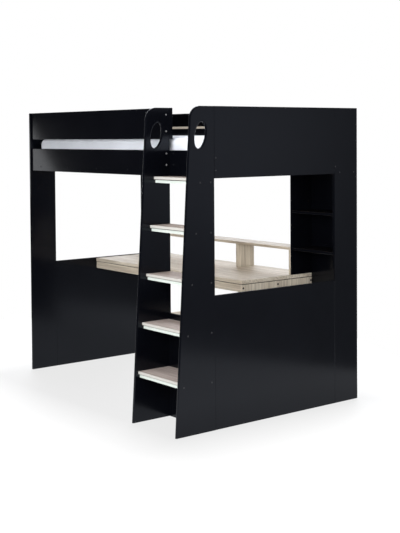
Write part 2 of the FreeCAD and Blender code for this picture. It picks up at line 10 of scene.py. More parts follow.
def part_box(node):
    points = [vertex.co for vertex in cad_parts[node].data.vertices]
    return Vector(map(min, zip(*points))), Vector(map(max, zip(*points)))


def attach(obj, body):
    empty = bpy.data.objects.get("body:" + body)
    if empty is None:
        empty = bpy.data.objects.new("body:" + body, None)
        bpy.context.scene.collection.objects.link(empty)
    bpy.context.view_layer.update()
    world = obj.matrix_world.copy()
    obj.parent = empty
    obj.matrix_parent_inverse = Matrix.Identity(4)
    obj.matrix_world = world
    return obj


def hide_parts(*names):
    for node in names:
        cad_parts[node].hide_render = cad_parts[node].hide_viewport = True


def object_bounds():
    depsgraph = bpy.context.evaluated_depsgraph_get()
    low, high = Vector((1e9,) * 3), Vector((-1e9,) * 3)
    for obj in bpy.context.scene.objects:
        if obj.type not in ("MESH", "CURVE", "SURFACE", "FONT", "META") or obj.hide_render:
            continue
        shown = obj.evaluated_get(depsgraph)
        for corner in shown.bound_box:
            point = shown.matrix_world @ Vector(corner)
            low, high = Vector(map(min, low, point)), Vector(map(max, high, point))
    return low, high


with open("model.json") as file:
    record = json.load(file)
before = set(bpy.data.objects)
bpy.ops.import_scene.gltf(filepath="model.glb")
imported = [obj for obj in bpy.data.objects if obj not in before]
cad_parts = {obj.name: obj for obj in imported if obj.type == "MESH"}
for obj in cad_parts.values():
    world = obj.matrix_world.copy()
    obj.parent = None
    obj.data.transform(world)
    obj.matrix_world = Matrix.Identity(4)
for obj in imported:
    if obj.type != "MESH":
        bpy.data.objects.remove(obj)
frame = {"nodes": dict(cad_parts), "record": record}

bl_info = {
    "name": "High sleeper bed",
    "version": (1, 0, 0),
    "blender": (4, 5, 0),
    "location": "View3D > Sidebar > High sleeper",
    "description": "Finishes, mattress and studio of a high sleeper bed with a desk and a bookcase",
    "category": "Object",
}

CAD_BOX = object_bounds()
MATTRESS_LOW, MATTRESS_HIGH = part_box("mattress")
PHOTO_WIDTH = 400
PHOTO_HEIGHT = 533
SENSOR = 36.0
TREAD_COUNT = 5
UP = Vector((0.0, 0.0, 1.0))
WHITE = (1.0, 1.0, 1.0, 1.0)

# Boards whose grain stands upright or runs to the back. All other oak boards have it along the bed.
ALONG, DEEP, UPRIGHT = range(3)
UPRIGHT_OAK = ("desk_end_left", "desk_end_right",
               "shelf_riser_1", "shelf_riser_2", "shelf_riser_3", "shelf_riser_4")
DEEP_OAK = ("cubby_top",)
BLACK_SCREWS = ("desk_screws", "batten_screws")

# Noise values at which a cloudy finish turns from its darker to its lighter tone.
CLOUD_STOPS = (0.35, 0.65)
FOIL_STOPS = (0.32, 0.70)
FOIL_CLOUD_SHARE = 0.6
FOIL_BUMP = (0.05, 0.0003)

# Marks of the grain: how far each is drawn out, the noise values that it starts and ends at, and its strength.
FIGURE_STRETCH = 9.0
FIGURE_STOPS = (0.30, 0.62)
RING_TURN = 75.0
RING_STRENGTH = 0.22
STREAK_STRETCH = 45.0
STREAK_SPAN = (0.44, 0.70)
STREAK_STRENGTH = 0.70
PIT_STRETCH = 30.0
PIT_SPAN = (0.60, 0.72)
PIT_STRENGTH = 0.45
PIT_DEPTH = 0.8
WOOD_SMOOTHER = 0.08
WOOD_ROUGHER = 0.12
WOOD_GLOSS = 0.35
WOOD_BUMP = (0.12, 0.0004)

PLASTIC_CLOUDS = 60.0
PLASTIC_SHADE = 0.94
PLASTIC_ROUGHNESS = (0.30, 0.45)
PLASTIC_BUMP = (0.05, 0.0003)

METAL_CLOUDS = 350.0
METAL_MARKS = 2600.0
METAL_SHADE = 0.8
METAL_SMOOTHER = 0.08
METAL_ROUGHER = 0.10
METAL_GLOSS = 0.5
METAL_BUMP = (0.08, 0.0001)

# A wave texture of scale 1 turns by 20 for each metre.
WAVE_TURN = 20.0
KNIT_CLOUDS = 9.0
KNIT_SHADE = 0.95
KNIT_ROUGHNESS = (0.82, 0.95)
KNIT_GLOSS = 0.2
KNIT_SHEEN = 0.25
KNIT_SHEEN_ROUGHNESS = 0.5
KNIT_BUMP = (0.18, 0.0006)

FLOOR_ROUGHNESS = 0.7
FLOOR_GLOSS = 0.2


def colour(name, description, default):
    return FloatVectorProperty(name=name, description=description, default=default, subtype="COLOR",
                               size=3, min=0.0, max=1.0)


def length(name, description, default):
    return FloatProperty(name=name, description=description, default=default, unit="LENGTH", min=0.0,
                         precision=4)


def share(name, description, default):
    return FloatProperty(name=name, description=description, default=default, subtype="FACTOR",
                         min=0.0, max=1.0)


def number(name, description, default):
    return FloatProperty(name=name, description=description, default=default, min=0.0)


def count(name, description, default):
    return IntProperty(name=name, description=description, default=default, min=1)


def power(name, description, default):
    return FloatProperty(name=name, description=description, default=default, unit="POWER", min=0.0)


def angle(name, description, degrees):
    return FloatProperty(name=name, description=description, default=math.radians(degrees),
                         unit="ROTATION")


def point(name, description, default):
    return FloatVectorProperty(name=name, description=description, default=default, size=3,
                               subtype="XYZ", unit="LENGTH")


def direction(name, description, default):
    return FloatVectorProperty(name=name, description=description, default=default, size=3,
                               subtype="DIRECTION")


class BlackBoardSettings(PropertyGroup):
    deep: colour("Deep black", "Colour of the darker clouds in the black foil", (0.0016, 0.0018, 0.0030))
    light: colour("Light black", "Colour of the lighter clouds in the black foil", (0.0022, 0.0025, 0.0040))
    clouds: number("Clouds", "Clouds in a metre of the foil", 4.5)
    pore: length("Pore size", "Size of the fine pores pressed into the foil", 0.0012)
    roughness: share("Roughness", "Mean roughness of the satin black foil", 0.17)
    uneven: share("Unevenness", "How far the roughness strays from its mean", 0.02)
    edge: share("Edge roughness", "How much rougher the foil is on the boards' top edges", 0.60)
    edge_depth: length("Edge depth", "How far the rougher top edges reach down", 0.0005)
    gloss: share("Gloss", "Specular level of the satin black foil", 0.25)
    tint: colour("Gloss tint", "Faint blue of the foil's gloss", (0.82, 0.88, 1.0))


class OakSettings(PropertyGroup):
    pale: colour("Pale oak", "Colour between the rings", (0.755, 0.692, 0.580))
    middle: colour("Middle oak", "Colour of the wide figure", (0.640, 0.562, 0.452))
    dark: colour("Dark oak", "Colour of the rings and pores", (0.290, 0.232, 0.172))
    # The shadow gap colour is painted shade, inside the gaps under the desk top and over the glow strips.
    gap: colour("Shadow gaps", "Colour inside the gaps under the desk top and the tread noses",
                (0.05, 0.042, 0.034))
    gap_height: length("Desk gap", "Height of the shadow gap under the desk top", 0.004)
    roughness: share("Roughness", "Mean roughness of the matt oak foil", 0.58)
    figure: length("Figure width", "Width of the wide figure across the grain", 0.11)
    streak: length("Streak width", "Width of the fine streaks across the grain", 0.011)
    pore: length("Pore width", "Width of the pores across the grain", 0.0012)


# The treads' oak is a darker copy of the other oak boards' oak: painted shade for the tread tops, which get
# less light.
class TreadSettings(PropertyGroup):
    pale: colour("Pale oak", "Colour between the rings", (0.545, 0.474, 0.444))
    middle: colour("Middle oak", "Colour of the wide figure", (0.462, 0.390, 0.358))
    dark: colour("Dark oak", "Colour of the rings and pores", (0.255, 0.198, 0.172))
    # The nose colour is a painted highlight on the treads' front edges, which face the front light.
    nose: colour("Nose", "Colour of the pale front edge", (0.520, 0.505, 0.474))
    nose_depth: length("Nose depth", "Depth of the full pale tone behind the front edge", 0.0015)
    nose_end: length("Nose end", "Depth at which the pale tone ends", 0.0030)
    # Height of the band of painted shade over each glow strip.
    gap_height: length("Nose gap", "Height of the shadow gap above each glow strip", 0.0035)
    roughness: share("Roughness", "Mean roughness of the matt oak foil", 0.58)
    figure: length("Figure width", "Width of the wide figure across the grain", 0.08)
    streak: length("Streak width", "Width of the fine streaks across the grain", 0.010)
    pore: length("Pore width", "Width of the pores across the grain", 0.0012)


class PineSettings(PropertyGroup):
    pale: colour("Pale pine", "Colour between the rings", (0.74, 0.56, 0.36))
    middle: colour("Middle pine", "Colour of the wide figure", (0.66, 0.47, 0.27))
    dark: colour("Dark pine", "Colour of the rings", (0.50, 0.31, 0.15))
    roughness: share("Roughness", "Mean roughness of the planed pine", 0.62)
    figure: length("Figure width", "Width of the wide figure across the grain", 0.06)
    streak: length("Streak width", "Width of the fine streaks across the grain", 0.008)
    pore: length("Pore width", "Width of the pores across the grain", 0.001)


class FittingSettings(PropertyGroup):
    glow: colour("Glow strip", "Colour of the pale strips under the tread noses", (0.66, 0.72, 0.67))
    glow_shine: share("Glow", "Light that the strips give off", 0.05)
    # Painted shade along the top of each glow strip, under the tread's nose.
    nose_shadow: colour("Joint line", "Colour of the dark joint along the top of each strip", (0.16, 0.16, 0.14))
    nose_shadow_below: length("Joint below", "How far the joint reaches below the strip's top", 0.0012)
    nose_shadow_above: length("Joint above", "How far the joint reaches above the strip's top", 0.001)
    screw: colour("Screws", "Colour of the dark screw heads", (0.050, 0.051, 0.055))
    black_screw: colour("Black screws", "Colour of the black screw heads in the desk and rails",
                        (0.003, 0.003, 0.004))
    zinc: colour("Cam locks", "Colour of the bright zinc cam locks", (0.36, 0.365, 0.37))


class MattressSettings(PropertyGroup):
    cover: colour("Cover", "Colour of the white cover", (0.82, 0.85, 0.915))
    # The seam colour is partly the seams' thread and partly painted shade in the pressed channels.
    seam: colour("Seams", "Colour of the cover along its sewn channels", (0.66, 0.68, 0.73))
    seam_shade_share: share("Seam strength", "How far the seams take their own colour", 0.8)
    knit: length("Knit size", "Size of the stitches in the cover", 0.0026)
    weld: length("Weld", "Distance at which the solid's loose corners are joined", 0.00002)
    voxel: length("Mesh size", "Size of the mesh that the cover is simulated on", 0.014)
    slack: length("Slack", "How much smaller than the solid the cover starts", 0.004)
    pressure: number("Pressure", "Pressure that swells the cover", 4.0)
    frames: count("Frames", "Frames that the cover swells for", 20)
    swell: length("Swell", "The most that a point of the cover may move", 0.007)
    end_depth: length("End depth", "How far the soft ends reach along the mattress", 0.15)
    end_bulge: length("End bulge", "How far the ends bulge out below the middle", 0.012)
    end_lean: length("End lean", "How far the ends lean in at the top", 0.06)
    end_curve: number("End curve", "How late the lean starts on the way up", 2.5)
    channels_along: count("Channels along", "Sewn panels along the bed", 10)
    channels_across: count("Channels across", "Sewn panels across the bed", 5)
    channel_depth: length("Channel depth", "Depth of the sewn channels in the top", 0.0045)
    channel_width: length("Channel width", "Half width of the sewn channels", 0.012)
    border: length("Border", "Plain border round the sewn channels", 0.06)
    border_share: share("Plain share", "Share of the border that has no channels at all", 0.4)
    top_facing: share("Top", "How far up the cover has to face to be sewn", 0.5)
    crown: length("Crown", "Rise of the top from its edges to its middle", 0.009)
    piping: length("Piping", "Radius of the sewn edge tape", 0.0036)
    piping_inset: length("Piping inset", "Height of the edge tape from the faces of the mattress", 0.0075)


class StageSettings(PropertyGroup):
    floor: colour("Floor", "Colour of the plain floor", (0.03, 0.03, 0.03))
    floor_size: point("Floor size", "Length and depth of the floor", (5.6, 4.2, 1.0))
    floor_place: point("Floor place", "Middle of the floor", (-0.154, -0.278, -0.0005))
    floor_turn: angle("Floor turn", "How far the floor is turned from the bed", -24.0)
    floor_near: share("Floor lift near", "Light that the floor gives off under the bed", 0.785)
    floor_far: share("Floor lift far", "Light that the floor gives off away from the bed", 1.0)
    floor_reach: length("Floor reach", "How far from the bed the floor is at its brightest", 0.50)
    room: colour("Room light", "Colour of the light from the room", (0.93, 0.95, 1.0))
    front_level: number("Front level", "Brightness of the room in front of the bed", 0.025)
    back_level: number("Back level", "Brightness of the room behind the bed", 4.9)
    back_way: direction("Back way", "Way to the bright room behind the bed", (-0.62, 0.78, 0.0))
    back_reach: share("Back reach", "Cosine at which the room behind the bed ends", 0.15)
    back_falloff: number("Back falloff", "How fast the room behind the bed fades", 2.0)
    right_level: number("Right level", "Brightness of the pale wall at the right", 0.25)
    right_way: direction("Right way", "Way to the pale wall at the right", (0.85, 0.45, 0.10))
    right_reach: share("Right reach", "Cosine at which the pale wall ends", 0.5)
    right_falloff: number("Right falloff", "How fast the pale wall fades", 1.0)
    window_level: number("Window level", "Brightness of the window at the right rear", 0.62)
    window_way: direction("Window way", "Way to the window at the right rear", (0.777, 0.629, 0.0))
    window_reach: share("Window reach", "Cosine at which the window ends", 0.9930)
    window_falloff: number("Window falloff", "How fast the window fades", 0.6)
    light_size: length("Light size", "Width and height of the broad lights", 1.6)
    light_aim: point("Light aim", "Point that the broad lights face", (0.2, 0.0, 1.0))
    key_power: power("Key light", "Power of the large soft light at the right front", 133.0)
    key_place: point("Key place", "Place of the key light", (2.4, -3.0, 1.7))
    fill_power: power("Fill light", "Power of the soft light at the right", 45.0)
    fill_place: point("Fill place", "Place of the fill light", (3.8, -0.8, 1.8))
    top_power: power("Top light", "Power of the soft light above the front of the bed", 32.0)
    top_place: point("Top place", "Place of the top light", (0.3, -1.4, 3.2))
    side_power: power("Side light", "Power of the upright soft light at the left", 1.1)
    side_place: point("Side place", "Place of the side light", (-1.7176, -0.7422, 1.4241))
    side_aim: point("Side aim", "Point that the side light faces", (-0.8416, -0.2612, 1.4381))
    side_width: length("Side width", "Width of the side light", 0.36)
    side_height: length("Side height", "Height of the side light", 0.53)
    side_roll: angle("Side roll", "Lean of the side light", 26.4)
    camera: point("Camera", "Place of the camera", (5.5227, -4.0655, 1.6123))
    turn: angle("Turn", "Camera's turn from straight in front to the right end", 51.49)
    tilt: angle("Tilt", "Camera's tilt down", 1.99)
    roll: angle("Roll", "Camera's roll", -0.38)
    focus: FloatProperty(name="Focal length", description="Focal length in pixels of the picture",
                         default=1070.2, subtype="PIXEL")
    centre: FloatVectorProperty(name="Optical centre", description="Optical centre in pixels of the picture",
                                size=2, default=(207.0, 172.5))


class HighSleeperSettings(PropertyGroup):
    black: PointerProperty(type=BlackBoardSettings)
    oak: PointerProperty(type=OakSettings)
    tread: PointerProperty(type=TreadSettings)
    pine: PointerProperty(type=PineSettings)
    fittings: PointerProperty(type=FittingSettings)
    mattress: PointerProperty(type=MattressSettings)
    stage: PointerProperty(type=StageSettings)


def boards_of(slot):
    """The CAD nodes of one material slot."""
    return [frame["nodes"][part["node"]] for part in frame["record"]["subparts"]
            if part["material_slot"] == slot]


def dress(pieces, material):
    for piece in pieces:
        piece.data.materials.clear()
        piece.data.materials.append(material)


def new_material(name):
    material = bpy.data.materials.new(name)
    material.use_nodes = True
    return material, material.node_tree, material.node_tree.nodes["Principled BSDF"]


def feed(tree, socket, value):
    """Joins a socket to another node's output, or sets it to a value."""
    if isinstance(value, NodeSocket):
        tree.links.new(value, socket)
    else:
        socket.default_value = value


def add(tree, kind, **inputs):
    """A shader node with its inputs fed by name."""
    made = tree.nodes.new(kind)
    for name, value in inputs.items():
        feed(tree, made.inputs[name.replace("_", " ")], value)
    return made


def math_of(tree, operation, *values):
    made = tree.nodes.new("ShaderNodeMath")
    made.operation = operation
    for socket, value in zip(made.inputs, values):
        feed(tree, socket, value)
    return made.outputs["Value"]


def vector_of(tree, operation, *values, result="Vector"):
    made = tree.nodes.new("ShaderNodeVectorMath")
    made.operation = operation
    for socket, value in zip(made.inputs, values):
        feed(tree, socket, value)
    return made.outputs[result]


def ramp(tree, value, places, tones):
    """A colour ramp between tones at their places."""
    made = add(tree, "ShaderNodeValToRGB", Fac=value)
    for element, stop, tone in zip(made.color_ramp.elements, places, tones):
        element.position = stop
        element.color = (*tone, 1.0)
    return made.outputs["Color"]


def blended(tree, factor, first, second):
    """Two colours mixed by a factor."""
    made = tree.nodes.new("ShaderNodeMix")
    made.data_type = "RGBA"
    for socket, value in zip((made.inputs[0], made.inputs[6], made.inputs[7]), (factor, first, second)):
        feed(tree, socket, value)
    return made.outputs[2]


def spread(tree, value, low, high, start=0.0, end=1.0):
    """A value between a start and an end, spread over another range and kept inside it."""
    return add(tree, "ShaderNodeMapRange", Value=value, From_Min=start, From_Max=end,
               To_Min=low, To_Max=high).outputs["Result"]


def noise(tree, place, scale, **inputs):
    return add(tree, "ShaderNodeTexNoise", Vector=place, Scale=scale, **inputs).outputs["Fac"]


def bumped(tree, shader, height, strength, distance):
    bump = add(tree, "ShaderNodeBump", Height=height, Strength=strength, Distance=distance)
    tree.links.new(bump.outputs["Normal"], shader.inputs["Normal"])


def place_of(tree):
    return add(tree, "ShaderNodeTexCoord").outputs["Object"]


def height_of(tree):
    return add(tree, "ShaderNodeSeparateXYZ", Vector=place_of(tree)).outputs["Z"]


def step_height(tree, first, last):
    """Height above the lowest point of the same piece at each of the ladder's equal steps."""
    rise = (last - first) / (TREAD_COUNT - 1)
    return math_of(tree, "FLOORED_MODULO", math_of(tree, "SUBTRACT", height_of(tree), first), rise)


def overlaid(material, mask, tone):
    """Lays a tone over a material's colour where a mask is 1."""
    tree = material.node_tree
    base = tree.nodes["Principled BSDF"].inputs["Base Color"]
    tree.links.new(blended(tree, mask, base.links[0].from_socket, (*tone, 1.0)), base)


def shadow_line(material, height, low, high, tone):
    """Paints shade into a material between two heights, inside a shadow gap."""
    inside = math_of(material.node_tree, "COMPARE", height, (low + high) / 2, (high - low) / 2)
    overlaid(material, inside, tone)


def nose_highlight(material, settings, first, last):
    """Paints a highlight on the treads' front edges, where the front light falls, on a plane that leans back
    from the first tread to the last.
    """
    tree = material.node_tree
    lean = (last.y - first.y) / (last.z - first.z)
    plane = first.y - lean * first.z
    behind = vector_of(tree, "DOT_PRODUCT", place_of(tree), (0.0, 1.0, -lean), result="Value")
    front = spread(tree, behind, 0.0, 1.0, plane + settings.nose_end, plane + settings.nose_depth)
    overlaid(material, front, settings.nose)


def black_foil(settings, top):
    """Satin black foil with soft clouds and fine pores, rougher on the top edge of boards of one height."""
    material, tree, shader = new_material(f"satin_black_foil_{round(1000 * top)}")
    place = place_of(tree)
    cloud = noise(tree, place, settings.clouds, Detail=3.0, Roughness=0.55)
    pore = noise(tree, place, 1.0 / settings.pore, Detail=2.0)
    foil = ramp(tree, cloud, FOIL_STOPS, (settings.deep, settings.light))
    tree.links.new(foil, shader.inputs["Base Color"])
    uneven = math_of(tree, "MULTIPLY_ADD", pore, 1.0 - FOIL_CLOUD_SHARE,
                     math_of(tree, "MULTIPLY", cloud, FOIL_CLOUD_SHARE))
    satin = spread(tree, uneven, settings.roughness - settings.uneven, settings.roughness + settings.uneven)
    edge = math_of(tree, "COMPARE", height_of(tree), top, settings.edge_depth)
    tree.links.new(math_of(tree, "MULTIPLY_ADD", edge, settings.edge, satin), shader.inputs["Roughness"])
    shader.inputs["Specular IOR Level"].default_value = settings.gloss
    shader.inputs["Specular Tint"].default_value = (*settings.tint, 1.0)
    bumped(tree, shader, pore, *FOIL_BUMP)
    return material


def grained_wood(name, settings, axis):
    """Wood with rings, streaks and pores drawn out along one axis of the bed."""
    material, tree, shader = new_material(name)
    place = place_of(tree)
    dark = (*settings.dark, 1.0)

    def drawn(width, stretch):
        scale = [1.0 / width] * 3
        scale[axis] /= stretch
        return add(tree, "ShaderNodeMapping", Vector=place, Scale=scale).outputs["Vector"]

    figure = noise(tree, drawn(settings.figure, FIGURE_STRETCH), 1.0, Detail=2.0, Roughness=0.45,
                   Distortion=0.25)
    streak = noise(tree, drawn(settings.streak, STREAK_STRETCH), 1.0, Detail=4.0, Roughness=0.6)
    pore = noise(tree, drawn(settings.pore, PIT_STRETCH), 1.0, Detail=1.0)

    ground = ramp(tree, figure, FIGURE_STOPS, (settings.middle, settings.pale))
    wave = math_of(tree, "SINE", math_of(tree, "MULTIPLY", figure, RING_TURN))
    rings = math_of(tree, "MULTIPLY_ADD", wave, RING_STRENGTH / 2, RING_STRENGTH / 2)
    streaks = spread(tree, streak, 0.0, STREAK_STRENGTH, *STREAK_SPAN)
    pits = spread(tree, pore, 0.0, 1.0, *PIT_SPAN)
    ringed = blended(tree, rings, ground, dark)
    streaked = blended(tree, streaks, ringed, dark)
    pitted = blended(tree, math_of(tree, "MULTIPLY", pits, PIT_STRENGTH), streaked, dark)
    tree.links.new(pitted, shader.inputs["Base Color"])
    tree.links.new(spread(tree, streak, settings.roughness - WOOD_SMOOTHER, settings.roughness + WOOD_ROUGHER),
                   shader.inputs["Roughness"])
    shader.inputs["Specular IOR Level"].default_value = WOOD_GLOSS
    relief = math_of(tree, "SUBTRACT", streak, math_of(tree, "MULTIPLY", pits, PIT_DEPTH))
    bumped(tree, shader, relief, *WOOD_BUMP)
    return material


def glow_plastic(settings):
    """Pale plastic, slightly cloudy, with a faint glow that is painted light."""
    material, tree, shader = new_material("pale_glow_plastic")
    cloud = noise(tree, place_of(tree), PLASTIC_CLOUDS, Detail=2.0)
    shade = [PLASTIC_SHADE * value for value in settings.glow]
    tree.links.new(ramp(tree, cloud, CLOUD_STOPS, (shade, settings.glow)), shader.inputs["Base Color"])
    tree.links.new(spread(tree, cloud, *PLASTIC_ROUGHNESS), shader.inputs["Roughness"])
    # Painted light: the strips glow faintly though they are no lamp.
    shader.inputs["Emission Color"].default_value = (*settings.glow, 1.0)
    shader.inputs["Emission Strength"].default_value = settings.glow_shine
    bumped(tree, shader, cloud, *PLASTIC_BUMP)
    return material


def turned_metal(name, tone, metallic, roughness, gloss=METAL_GLOSS):
    """Plated metal with fine turning marks and a slightly uneven coat."""
    material, tree, shader = new_material(name)
    place = place_of(tree)
    coat = noise(tree, place, METAL_CLOUDS, Detail=2.0)
    mark = noise(tree, place, METAL_MARKS, Detail=1.0)
    shade = [METAL_SHADE * value for value in tone]
    tree.links.new(ramp(tree, coat, CLOUD_STOPS, (shade, tone)), shader.inputs["Base Color"])
    tree.links.new(spread(tree, mark, roughness - METAL_SMOOTHER, roughness + METAL_ROUGHER),
                   shader.inputs["Roughness"])
    shader.inputs["Metallic"].default_value = metallic
    shader.inputs["Specular IOR Level"].default_value = gloss
    bumped(tree, shader, mark, *METAL_BUMP)
    return material


def knit_cover(settings):
    """White knitted cover, a little darker along its sewn channels, for the seams' thread and as painted shade.
    """
    material, tree, shader = new_material("white_knit_cover")
    place = place_of(tree)
    scale = 2.0 * math.pi / (WAVE_TURN * settings.knit)
    stitch = None
    for bands in ("X", "Y", "Z"):
        wave = add(tree, "ShaderNodeTexWave", Vector=place, Scale=scale, Distortion=0.4)
        wave.bands_direction = bands
        stitch = wave.outputs["Fac"] if stitch is None else math_of(tree, "ADD", stitch, wave.outputs["Fac"])
    cloud = noise(tree, place, KNIT_CLOUDS, Detail=3.0)
    seam = tree.nodes.new("ShaderNodeAttribute")
    seam.attribute_name = "seam"
    shade = [KNIT_SHADE * value for value in settings.cover]
    plain = ramp(tree, cloud, CLOUD_STOPS, (shade, settings.cover))
    # Darkens the channels with the seams' thread colour and painted shade.
    sewn = math_of(tree, "MULTIPLY", seam.outputs["Fac"], settings.seam_shade_share)
    tree.links.new(blended(tree, sewn, plain, (*settings.seam, 1.0)), shader.inputs["Base Color"])
    tree.links.new(spread(tree, cloud, *KNIT_ROUGHNESS), shader.inputs["Roughness"])
    shader.inputs["Sheen Weight"].default_value = KNIT_SHEEN
    shader.inputs["Sheen Roughness"].default_value = KNIT_SHEEN_ROUGHNESS
    shader.inputs["Specular IOR Level"].default_value = KNIT_GLOSS
    bumped(tree, shader, stitch, *KNIT_BUMP)
    return material


def work_on(piece):
    """Makes a piece the only selected and active one."""
    bpy.ops.object.select_all(action="DESELECT")
    piece.select_set(True)
    bpy.context.view_layer.objects.active = piece


def copied(name, mesh):
    piece = bpy.data.objects.new(name, mesh.copy())
    bpy.context.scene.collection.objects.link(piece)
    work_on(piece)
    return piece


class HIGH_SLEEPER_OT_black_boards(Operator):
    """Gives the ends, ladder sides, rails and bookcase their satin black foil"""
    bl_idname = "high_sleeper.black_boards"
    bl_label = "Black boards"

    def execute(self, context):
        heights = {}
        for board in boards_of("black_board"):
            heights.setdefault(round(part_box(board.name)[1].z, 4), []).append(board)
        for top, boards in sorted(heights.items()):
            dress(boards, black_foil(context.scene.high_sleeper.black, top))
        return {"FINISHED"}


class HIGH_SLEEPER_OT_oak_boards(Operator):
    """Gives the treads, desk and shelves their oak foil, with the grain along each board"""
    bl_idname = "high_sleeper.oak_boards"
    bl_label = "Oak boards"

    def execute(self, context):
        settings = context.scene.high_sleeper.oak
        along = grained_wood("oak_along", settings, ALONG)
        deep = grained_wood("oak_deep", settings, DEEP)
        upright = grained_wood("oak_upright", settings, UPRIGHT)
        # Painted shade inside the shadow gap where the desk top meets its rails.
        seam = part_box("desk_top")[0].z
        for wood in (along, upright):
            height = height_of(wood.node_tree)
            shadow_line(wood, height, seam - settings.gap_height, seam, settings.gap)
        tread = self.tread_wood(context.scene.high_sleeper.tread, settings.gap)
        for board in boards_of("oak_board"):
            if board.name.startswith("tread"):
                material = tread
            else:
                material = upright if board.name in UPRIGHT_OAK else deep if board.name in DEEP_OAK else along
            dress([board], material)
        return {"FINISHED"}

    def tread_wood(self, settings, gap):
        """Darker oak as painted shade on the tread tops, with a painted highlight on the nose and painted shade
        in the gap over each glow strip.
        """
        wood = grained_wood("oak_tread", settings, ALONG)
        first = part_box("tread_1")[0]
        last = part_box(f"tread_{TREAD_COUNT}")[0]
        nose_highlight(wood, settings, first, last)
        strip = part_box("glow_strip_1")[1].z - first.z
        height = step_height(wood.node_tree, first.z, last.z)
        # Painted shade in the gap between each nose and its glow strip.
        shadow_line(wood, height, strip, strip + settings.gap_height, gap)
        return wood


class HIGH_SLEEPER_OT_slatted_base(Operator):
    """Gives the slats, battens and dowels their plain wood"""
    bl_idname = "high_sleeper.slatted_base"
    bl_label = "Slatted base"

    def execute(self, context):
        settings = context.scene.high_sleeper.pine
        along = grained_wood("pine_along", settings, ALONG)
        deep = grained_wood("pine_deep", settings, DEEP)
        for piece in boards_of("pine"):
            dress([piece], deep if piece.name == "slats" else along)
        dress(boards_of("beech_dowel"), along)
        return {"FINISHED"}


class HIGH_SLEEPER_OT_fittings(Operator):
    """Gives the glow strips, screws and cam locks their plastic and metal"""
    bl_idname = "high_sleeper.fittings"
    bl_label = "Fittings"

    def execute(self, context):
        settings = context.scene.high_sleeper.fittings
        dress(boards_of("glow_plastic"), self.strip_plastic(settings))
        dark = turned_metal("dark_screw_coat", settings.screw, metallic=0.6, roughness=0.40)
        dress(boards_of("dark_screw"), dark)
        black = turned_metal("black_screw_coat", settings.black_screw, metallic=0.0, roughness=0.60, gloss=0.10)
        dress([frame["nodes"][name] for name in BLACK_SCREWS], black)
        zinc = turned_metal("bright_zinc", settings.zinc, metallic=0.4, roughness=0.45)
        dress(boards_of("zinc"), zinc)
        return {"FINISHED"}

    def strip_plastic(self, settings):
        """Glow plastic with painted shade along the top of each strip, where the nose above shades it."""
        plastic = glow_plastic(settings)
        low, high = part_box("glow_strip_1")
        top = high.z - low.z
        height = step_height(plastic.node_tree, low.z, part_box(f"glow_strip_{TREAD_COUNT}")[0].z)
        # Paints the nose's shadow along the top of each strip.
        shadow_line(plastic, height, top - settings.nose_shadow_below, top + settings.nose_shadow_above, settings.nose_shadow)
        return plastic


